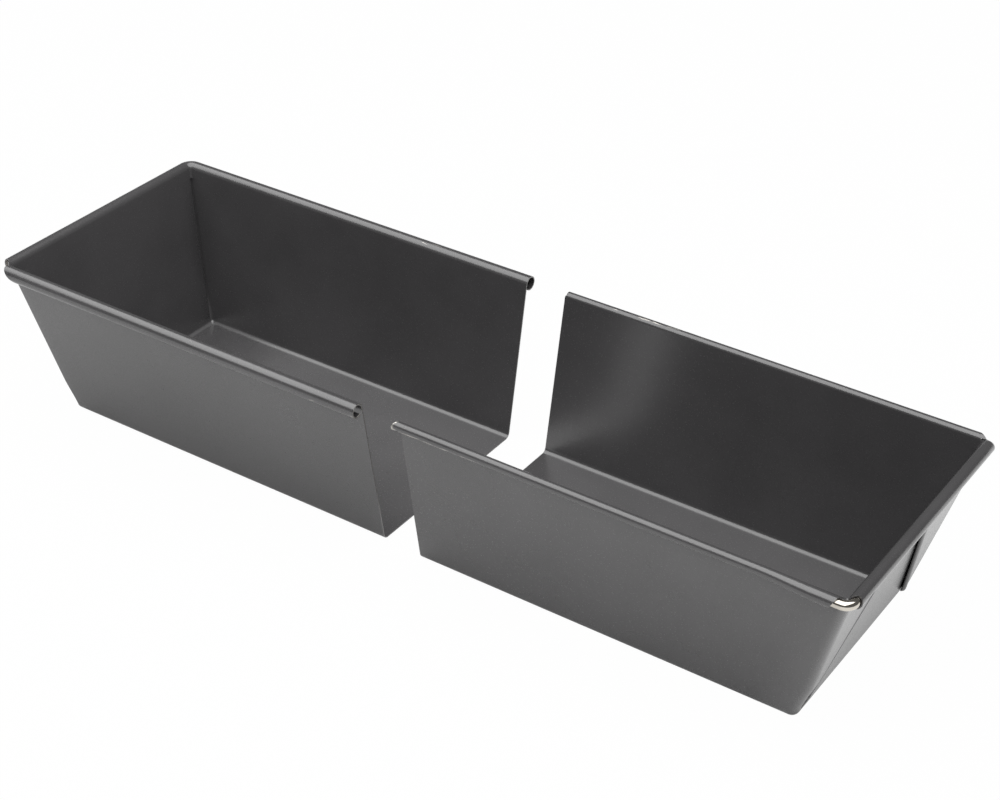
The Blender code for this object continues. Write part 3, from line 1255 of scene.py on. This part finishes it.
    def ear_face(self, place: Place, row: GridRow, share: float) -> tuple[Vector, Vector, Vector]:
        """The ear's outer surface.

        Args:
            place: a column in the ear's half.
            row: the row, on the wall.
            share: place across the ear, 0 at the corner and 1 at the folded edge.

        Returns:
            Its place, the direction along it away from the corner, and its outward normal, as (run, width).
        """
        ear = self.ear_of(place)
        start = self.corner_point(Place(Column.CORNER, 1.0, place.far), row, False)
        rise = self.ear_rise(row)
        radius = ear.fold_radius * self.folded(place, row)
        span = self.fold_edge(place, row) + radius - start[1]
        spot = Vector((start[0] + ear.gape(share, rise), start[1] + span * share))
        ahead = ear.gape(share + EAR_STEP, rise) - ear.gape(max(share - EAR_STEP, 0.0), rise)
        along = Vector((ahead / (2 * EAR_STEP), span)).normalized()
        return spot, along, Vector((-along.y, along.x))

    def ear_point(self, place: Place, row: GridRow, inside: bool) -> Point:
        """A point of the ear, whose layers run from the corner to the folded edge and back.

        Args:
            place: the column, on one of the ear's layers or folds.
            row: the row, on the wall.
            inside: whether the point lies on the sheet's inside face.

        Returns:
            The point in the half tray.
        """
        opened = self.folded(place, row)
        ear = self.ear_of(place)
        radius = ear.fold_radius * opened
        depth = SHEET if inside else 0.0
        if place.kind == Column.EAR_FACE:
            spot, _, normal = self.ear_face(place, row, place.share)
            found = spot - normal * depth
        elif place.kind == Column.EAR_FOLD:
            spot, along, normal = self.ear_face(place, row, 1.0)
            angle = place.share * math.pi
            arm = max(radius - depth, THINNEST) if inside else radius
            found = spot - normal * radius + (normal * math.cos(angle) + along * math.sin(angle)) * arm
        elif place.kind == Column.EAR_BACK:
            spot, _, normal = self.ear_face(place, row, 1.0 - place.share)
            found = spot - normal * (2 * ear.radius(1.0 - place.share) * opened - depth)
        else:
            start = self.ear_face(place, row, 0.0)[0]
            wall = self.end.at(row[1])
            gap = (start.x - 2 * ear.layer_radius * opened - wall) / 2
            angle = place.share * math.pi
            arm = gap + depth
            found = Vector((wall + gap + arm * math.cos(angle), start.y + arm * math.sin(angle)))
        return found.x, found.y, row[1]

    def side_point(self, place: Place, row: GridRow, inside: bool) -> Point:
        """A point of the side wall. Its columns lean with the end wall below the rim.

        Args:
            place: the column.
            row: the row.
            inside: whether the point lies on the sheet's inside face.

        Returns:
            The point in the half tray.
        """
        if row[0] == Row.ROLL:
            run = place.share * self.corner_start(self.end)
            share = self.roll_share(place, row)
            out, height = self.section(self.side, row, inside, self.side_roll(run, place.far), share)
            return run + self.end_of_side(place, share), out, height
        out, height = self.section(self.side, row, inside, self.end_roll, 0.0)
        corner = self.corner_point(Place(Column.CORNER, 0.0, place.far), row, inside)
        return place.share * corner[0], out, height

    def end_of_side(self, place: Place, share: float) -> float:
        """How far a side roll's two cut ends stand past the sheet's other columns there.

        Args:
            place: the column.
            share: how much of the roll's turn is made.

        Returns:
            Distance along the tray, which is 0 between the two ends.
        """
        corner = self.corner_of(place)
        turned = share * self.roll_turn(self.slim_roll)
        if place.share == 0.0:
            ramp = self.overhang_turns[place.far]
            return -self.overhang[place.far] * smooth(*ramp, math.degrees(turned))
        if place.share == 1.0:
            lap_turn = corner.edge_turn * self.lap_row / self.notch_row
            past = smooth(lap_turn, lap_turn + self.lap_turn, math.degrees(turned))
            return corner.side_stop * past - corner.side_cut_back * corner.cut_back(turned)
        return 0.0

    def point(self, place: Place, row: GridRow, inside: bool) -> Point:
        """A point of the sheet.

        Args:
            place: the column.
            row: the row.
            inside: whether the point lies on the sheet's inside face.

        Returns:
            The point in the half tray.
        """
        if place.kind == Column.SIDE:
            return self.side_point(place, row, inside)
        if place.kind == Column.CORNER:
            return self.past_corner(place, row, inside)
        if place.kind != Column.END:
            return self.ear_point(place, row, inside)
        edge = self.past_corner(Place(Column.CORNER, 1.0, place.far), row, inside)
        share = self.roll_share(place, row) if row[0] == Row.ROLL else 0.0
        out, height = self.section(self.end, row, inside, self.end_roll, share)
        return out, edge[1] * (1 - place.share), height

    def in_frame(self, place: Place, spot: Point) -> Point:
        """Carries a point into the pan's frame.

        Args:
            place: a column in the point's half.
            spot: the point in the half tray, in millimetres.

        Returns:
            The point in metres.
        """
        run, width, height = spot
        across = width if place.far else -width
        return (self.open_end + self.direction * run) * MM, across * MM, (height + self.lift) * MM

    def half(self, far: bool) -> list[Place]:
        """The columns of one half, from the open end to the middle of the end wall.

        Args:
            far: whether it is the far half.

        Returns:
            The columns in order.
        """
        corner_run = self.corner_start(self.end)
        along = range(1, self.side_steps + 1)
        runs = [0.0, self.first_column]
        runs += [corner_run * (step / self.side_steps) * self.side_reach for step in along]
        if far and self.far_corner.kind == Pass.LAPPED:
            runs.append(corner_run)
        elif self.slim_roll != self.end_roll:
            start, finish = self.swell
            margin = self.swell_margin
            runs = [run for run in runs if run < start - margin or run > finish + margin]
            across = range(self.swell_steps + 1)
            runs += [start + (finish - start) * step / self.swell_steps for step in across]
        places = [Place(Column.SIDE, run / corner_run, far) for run in sorted(runs)]
        parts = (
            (Column.CORNER, self.corner_steps, 0),
            (Column.EAR_FACE, self.ear_steps, 1),
            (Column.EAR_FOLD, self.fold_steps, 1),
            (Column.EAR_BACK, self.ear_steps, 1),
            (Column.CORNER_FOLD, self.fold_steps, 1),
            (Column.END, self.end_steps, 0),
        )
        for kind, steps, first in parts:
            places += [Place(kind, step / steps, far) for step in range(first, steps + 1)]
        return places

    def holds_sheet(self, columns: tuple[Place, Place], rows: tuple[GridRow, GridRow]) -> bool:
        """Whether there is sheet in a cell of the grid.

        Args:
            columns: the columns at the cell's sides.
            rows: the rows at its foot and its top.

        Returns:
            False above and below the ears, in a notch, and between a lapped end roll and the side roll.
        """
        row, above = rows
        kinds = {place.kind for place in columns}
        passing = self.corner_of(columns[0]).kind
        if kinds == {Column.SIDE, Column.CORNER} and passing == Pass.LAPPED:
            return above[0] != Row.ROLL or above[1] <= self.lap_row + 1
        if not kinds <= set(FLAT_COLUMNS):
            return row[0] == Row.WALL and row[1] < self.ear_top() and above[0] != Row.ROLL
        if kinds == {Column.CORNER} and passing == Pass.NOTCHED:
            return row[0] != Row.ROLL or row[1] < self.notch_row
        return True

    def surface(self) -> bpy.types.Object:
        """The sheet's outside face.

        Returns:
            An object whose mesh carries the step to its inside face and the sheet's marks.
        """
        rows = self.rows()
        places = self.half(False) + self.half(True)[-2::-1]
        net = SheetNet()
        faces = []
        for left, right in zip(places, places[1:]):
            for low, high in zip(rows, rows[1:]):
                if self.holds_sheet((left, right), (low, high)):
                    corners = ((left, low), (right, low), (right, high), (left, high))
                    faces.append(without_repeats([self.vertex(net, *corner) for corner in corners]))
        faces = [face for face in faces if len(set(face)) > 2]
        edge = [self.vertex(net, place, rows[0]) for place in places if place.kind in FLAT_COLUMNS]
        faces += self.floor_faces(net, without_repeats(edge))
        mesh = net.mesh(self.name, faces)
        if self.direction < 0:
            mesh.flip_normals()
        surface = bpy.data.objects.new(self.name, mesh)
        bpy.context.scene.collection.objects.link(surface)
        return surface

    def vertex(self, net: SheetNet, place: Place, row: GridRow) -> int:
        """The vertex at a column and a row, which is added if none stands there.

        Args:
            net: the vertices so far.
            place: the column.
            row: the row.

        Returns:
            The vertex's number.
        """
        spot = self.in_frame(place, self.point(place, row, False))
        key = tuple(round(value * WELD_STEPS) for value in spot)
        if key not in net.numbers:
            inner = self.in_frame(place, self.point(place, row, True))
            net.numbers[key] = net.add(
                spot,
                (inner[0] - spot[0], inner[1] - spot[1], inner[2] - spot[2]),
                rubbed=self.rubbing(place, row),
                creased=self.creasing(place, row),
                slid=self.curl_painted_light_at(place, row),
            )
        return net.numbers[key]

    def rubbing(self, place: Place, row: GridRow) -> float:
        """How much the other tray rubs a spot, on the near roll's end and lip line and the far roll's top.

        Args:
            place: the column.
            row: the row.

        Returns:
            The rubbing, which is below 0 off the side walls, so that their cut edges stay dark.
        """
        if place.kind != Column.SIDE:
            return UNRUBBED
        if row[0] != Row.ROLL:
            return 0.0
        turned = math.degrees(self.roll_share(place, row) * self.roll_turn(self.slim_roll))
        if place.far:
            return FAR_TOP.at(turned, place.share)
        if place.share == 0.0:
            return self.worn_end * band(NEAR_OPEN_END, turned)
        return NEAR_LIP.at(turned, place.share)

    def creasing(self, place: Place, row: GridRow) -> float:
        """How hard the sheet is creased at a spot: fully along the near ear's folded edge."""
        on_fold = place.kind == Column.EAR_FOLD or (place.kind, place.share) == (Column.EAR_FACE, 1.0)
        return 1.0 if on_fold and self.beside_ear(row) and not place.far else 0.0

    def curl_painted_light_at(self, place: Place, row: GridRow) -> float:
        """How much painted light lifts the shade inside the near curl where it shows, at its open end and
        beside the notch.
        """
        return self.curl_light_share if row[0] == Row.ROLL and place.share == 0.0 and not place.far else 0.0

    def floor_faces(self, net: SheetNet, edge: list[int]) -> list[list[int]]:
        """The floor as rings of faces from its edge to a point in its middle.

        Args:
            net: the vertices so far, which get the floor's own.
            edge: the vertices round the floor.

        Returns:
            The faces, by their vertices.
        """
        centre = self.in_frame(Place(Column.END, 0.0, False), (self.end.foot / 2, 0.0, 0.0))
        upwards = (0.0, 0.0, SHEET * MM)
        rings = [edge]
        for share in FLOOR_RINGS:
            spots = [tuple(a + (b - a) * share for a, b in zip(net.spots[spot], centre)) for spot in edge]
            rings.append([net.add(spot, upwards) for spot in spots])
        middle = net.add(centre, upwards)
        after = [(index + 1) % len(edge) for index in range(len(edge))]
        faces = []
        for outer, inner in zip(rings, rings[1:]):
            for early, late in enumerate(after):
                faces.append([outer[late], outer[early], inner[early], inner[late]])
        last = rings[-1]
        return faces + [[last[late], last[early], middle] for early, late in enumerate(after)]

    def build(self, tree: GeometryTree, coating: bpy.types.Material) -> bpy.types.Object:
        """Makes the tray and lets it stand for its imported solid.

        Args:
            tree: the tree that gives the surface its thickness.
            coating: the tray's finish.

        Returns:
            The finished tray.
        """
        values = {
            "Warp": self.warp * MM,
            "Warp Length": self.warp_length * MM,
            "Seed": self.seed,
            "Material": coating,
        }
        piece = tree.made(self.surface(), self.name, values)
        piece.data.shade_smooth()
        piece.data.set_sharp_from_angle(angle=SHARP_SHEET)
        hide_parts(self.node)
        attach(piece, self.body)
        return piece


@dataclass
class RimWire:
    """The wire in the outer tray's rim, which follows the end roll and turns the near corner.

    far_bend is the share of the far corner's bend that the wire makes before it ends inside the roll.
    """

    tray: FoldedTray
    leg: float = 11.0
    radius: float = WIRE_RADIUS
    bend_steps: int = 16
    far_bend: float = 0.12

    def path(self) -> list[Point]:
        """The wire's path in the pan's frame.

        Returns:
            Its points: a leg in the near roll, the near bend, and the start of the far one.
        """
        tray = self.tray
        leg_end = tray.corner_start(tray.end) - self.leg
        shares = [step / self.bend_steps for step in range(self.bend_steps + 1)]
        near = [(leg_end, tray.side_axis(), tray.axis_height())]
        near += [self.bend_point(tray.near_corner, share) for share in shares]
        far = [self.bend_point(tray.far_corner, 1 - self.far_bend * share) for share in shares]
        spots = [tray.in_frame(Place(Column.SIDE, 0.0, False), spot) for spot in near]
        return spots + [tray.in_frame(Place(Column.SIDE, 0.0, True), spot) for spot in far]

    def bend_point(self, corner: RimCorner, share: float) -> Point:
        """A point of the wire's bend round a corner.

        Args:
            corner: how the rim passes the corner.
            share: place on the bend, 0 at the side and 1 at the end.

        Returns:
            The point in the half tray.
        """
        tray = self.tray
        angle = share * math.pi / 2
        lapped = math.cos(angle)
        run = tray.end_axis() - tray.rim_bend * (1 - math.sin(angle))
        width = tray.side_axis() - tray.rim_bend * (1 - math.cos(angle))
        return run, width - corner.draw_in * lapped, tray.axis_height() - corner.drop * lapped

    def build(self, tree: GeometryTree, plate: bpy.types.Material) -> bpy.types.Object:
        """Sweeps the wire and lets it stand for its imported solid.

        Args:
            tree: the tree that sweeps the wire.
            plate: the wire's finish.

        Returns:
            The finished wire.
        """
        curve = bpy.data.curves.new("rim_wire_path", "CURVE")
        curve.dimensions = "3D"
        spline = curve.splines.new("POLY")
        path = self.path()
        spline.points.add(len(path) - 1)
        for point, spot in zip(spline.points, path):
            point.co = (*spot, 1.0)
        source = bpy.data.objects.new("rim_wire_path", curve)
        bpy.context.scene.collection.objects.link(source)
        values = {"Radius": self.radius * MM, "Material": plate}
        piece = tree.made(source, "drawn_rim_wire", values)
        piece.data.set_sharp_from_angle(angle=SHARP_WIRE)
        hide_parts("rim_wire")
        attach(piece, "outer")
        return piece


# How far before the corner the wire's leg ends, and where the side roll swells round that spot.
SWELL_SPOT = 11.2
SWELL_BEFORE = 18.0
SWELL_PAST = 4.0


def outer_tray() -> FoldedTray:
    """The outer tray: slim rolls along its sides, and a wired roll along its end.

    Returns:
        The tray's sizes, ready to build.
    """
    end = Wall(foot=158.0, lean=math.radians(15.1))
    swollen = end.at(RIM_TOP - WIRED_ROLL) - CORNER_BEND - SWELL_SPOT
    return FoldedTray(
        name="outer_tray_sheet",
        node="outer_tray",
        body="outer",
        slot="outer_coating",
        open_end=9.742,
        direction=1,
        lift=0.0,
        side=Wall(foot=FLOOR_HALF, lean=SIDE_LEAN),
        end=end,
        rim_top=RIM_TOP,
        end_roll=WIRED_ROLL,
        slim_roll=SLIM_ROLL,
        swell=(swollen - SWELL_BEFORE, swollen + SWELL_PAST),
        lip_gap=RUNNING_GAP,
        rim_bend=3.5,
        near_corner=RimCorner(
            Pass.NOTCHED,
            edge_turn=42,
            middle_turn=14,
            side_stop=-0.6,
            side_cut_back=2.8,
            end_stop=-1.1,
            end_cut_back=-1.2,
            wall_bend=3.8,
        ),
        far_corner=RimCorner(
            Pass.LAPPED,
            edge_turn=30,
            side_stop=2.5,
            side_cut_back=8.0,
            drop=1.3,
            draw_in=1.6,
            cut_curve=1.0,
        ),
        near_ear=Ear(foot_gape=0.25, rim_gape=0.3, foot_width=-2.0, rim_width=1.5, foot_rise=16.0),
        far_ear=Ear(
            foot_gape=0.35,
            rim_gape=0.1,
            foot_width=4.8,
            rim_width=6.5,
            foot_rise=2.0,
            fold_radius=0.78,
        ),
        overhang=(1.4, -1.2),
        seed=3.0,
    )


def inner_tray() -> FoldedTray:
    """The inner tray: its open curls hang over the outer tray's rolls.

    Returns:
        The tray's sizes, ready to build.
    """
    inset = LIFT / math.cos(SIDE_LEAN)
    return FoldedTray(
        name="inner_tray_sheet",
        node="inner_tray",
        body="inner",
        slot="inner_coating",
        open_end=-7.858,
        direction=-1,
        lift=LIFT,
        side=Wall(foot=FLOOR_HALF - inset + LIFT * math.tan(SIDE_LEAN), lean=SIDE_LEAN),
        end=Wall(foot=160.0, lean=math.radians(14.3)),
        rim_top=RIM_TOP + RUNNING_GAP + SHEET - LIFT,
        end_roll=CURL,
        slim_roll=CURL,
        swell=(0.0, 160.0),
        lip_gap=SHEET + 2 * RUNNING_GAP,
        rim_bend=3.8,
        near_corner=RimCorner(
            Pass.NOTCHED,
            edge_turn=60,
            middle_turn=45,
            side_stop=1.5,
            side_cut_back=6.6,
            end_stop=-0.4,
        ),
        far_corner=RimCorner(Pass.TURNED),
        near_ear=Ear(foot_gape=0.5, rim_gape=0.5, foot_rise=12.0),
        far_ear=Ear(foot_gape=0.4, rim_gape=0.3, foot_rise=12.0),
        # Painted light inside the near curl's open end, which lies in shade.
        curl_light_share=1.0,
        worn_end=0.2,
        seed=8.0,
    )


# The studio


@dataclass(frozen=True)
class SoftBox:
    """A large square lamp, with its sizes in metres and its power in watts.

    mirrored says whether gloss shows it.
    """

    name: str
    place: Point
    aim: Point
    width: float
    height: float
    power: float
    mirrored: bool = True

    def build(self) -> None:
        """Hangs the lamp."""
        lamp = bpy.data.lights.new(self.name, "AREA")
        lamp.shape = "RECTANGLE"
        lamp.size = self.width
        lamp.size_y = self.height
        lamp.energy = self.power
        holder = bpy.data.objects.new(self.name, lamp)
        bpy.context.scene.collection.objects.link(holder)
        holder.visible_glossy = self.mirrored
        holder.location = self.place
        holder.rotation_euler = (Vector(self.aim) - Vector(self.place)).to_track_quat("-Z", "Y").to_euler()


@dataclass
class Studio:
    """A white table in a dim room, a large soft lamp overhead, and the camera at the photograph's place.

    Angles are in degrees, the camera's distance and target in millimetres, and the table in metres.
    """

    azimuth: float = 33.687
    elevation: float = 33.076
    roll: float = 0.767
    distance: float = 865.25
    lens: float = 73.444
    sensor: float = 36.0
    clip_start: float = 0.01
    target: Point = (-27.224, 64.843, 0.0)
    room: float = 0.12
    table_half: float = 3.0
    lamps: tuple[SoftBox, ...] = (
        SoftBox(
            "overhead_softbox",
            place=(-0.22, -0.35, 1.0),
            aim=(-0.22, -0.35, 0.0),
            width=1.95,
            height=1.69,
            power=24.0,
        ),
        SoftBox(
            "side_softbox",
            place=(1.5, 0.0, 0.4),
            aim=(0.1, 0.0, 0.0),
            width=0.9,
            height=0.7,
            power=6.5,
            mirrored=False,
        ),
    )

    def build_camera(self) -> None:
        """Places the camera."""
        azimuth = math.radians(self.azimuth)
        elevation = math.radians(self.elevation)
        flat = math.cos(elevation)
        back = Vector((math.sin(azimuth) * flat, -math.cos(azimuth) * flat, math.sin(elevation)))
        level = (-back).cross(Vector((0, 0, 1))).normalized()
        up = level.cross(-back)
        tilt = math.radians(self.roll)
        right = math.cos(tilt) * level + math.sin(tilt) * up
        top = -math.sin(tilt) * level + math.cos(tilt) * up
        camera = bpy.data.cameras.new("camera")
        camera.lens = self.lens
        camera.sensor_width = self.sensor
        camera.sensor_fit = "HORIZONTAL"
        camera.clip_start = self.clip_start
        holder = bpy.data.objects.new("camera", camera)
        bpy.context.scene.collection.objects.link(holder)
        place = (Vector(self.target) + back * self.distance) * MM
        turn = Matrix((right, top, back)).transposed()
        holder.matrix_world = Matrix.Translation(place) @ turn.to_4x4()
        bpy.context.scene.camera = holder

    def build_world(self) -> None:
        """Makes the dim room round the table."""
        world = bpy.data.worlds.new("dim_room")
        world.use_nodes = True
        background = world.node_tree.nodes["Background"]
        background.inputs["Color"].default_value = linear(WHITE)
        background.inputs["Strength"].default_value = self.room
        bpy.context.scene.world = world

    def build_table(self) -> None:
        """Lays the white table."""
        mesh = bpy.data.meshes.new("table")
        half = self.table_half
        corners = [(-half, -half, 0), (half, -half, 0), (half, half, 0), (-half, half, 0)]
        mesh.from_pydata(corners, [], [(0, 1, 2, 3)])
        table = bpy.data.objects.new("table", mesh)
        bpy.context.scene.collection.objects.link(table)
        mesh.materials.append(MattPaintedBoard().build())

    def build(self) -> None:
        """Sets up the whole studio."""
        self.build_camera()
        self.build_world()
        self.build_table()
        for lamp in self.lamps:
            lamp.build()
        bpy.context.scene.view_settings.view_transform = "Standard"


def main() -> None:
    """Builds the studio and the pan's pieces in order, and reports each one."""
    logging.basicConfig(level=logging.INFO, format="%(message)s")
    Studio().build()
    sheet = sheet_tree()
    outer = outer_tray()
    inner = inner_tray()
    outer_coating = CoatedSteel("sprayed_nonstick_on_steel_outer").build()
    inner_coating = CoatedSteel("sprayed_nonstick_on_steel_inner", rubbed=0.5).build()
    pieces = [
        outer.build(sheet, outer_coating),
        inner.build(sheet, inner_coating),
        RimWire(outer).build(wire_tree(), NickelPlate().build()),
    ]
    for piece in pieces:
        log.info("%s: %d faces", piece.name, len(piece.data.polygons))


if __name__ == "__main__":
    main()
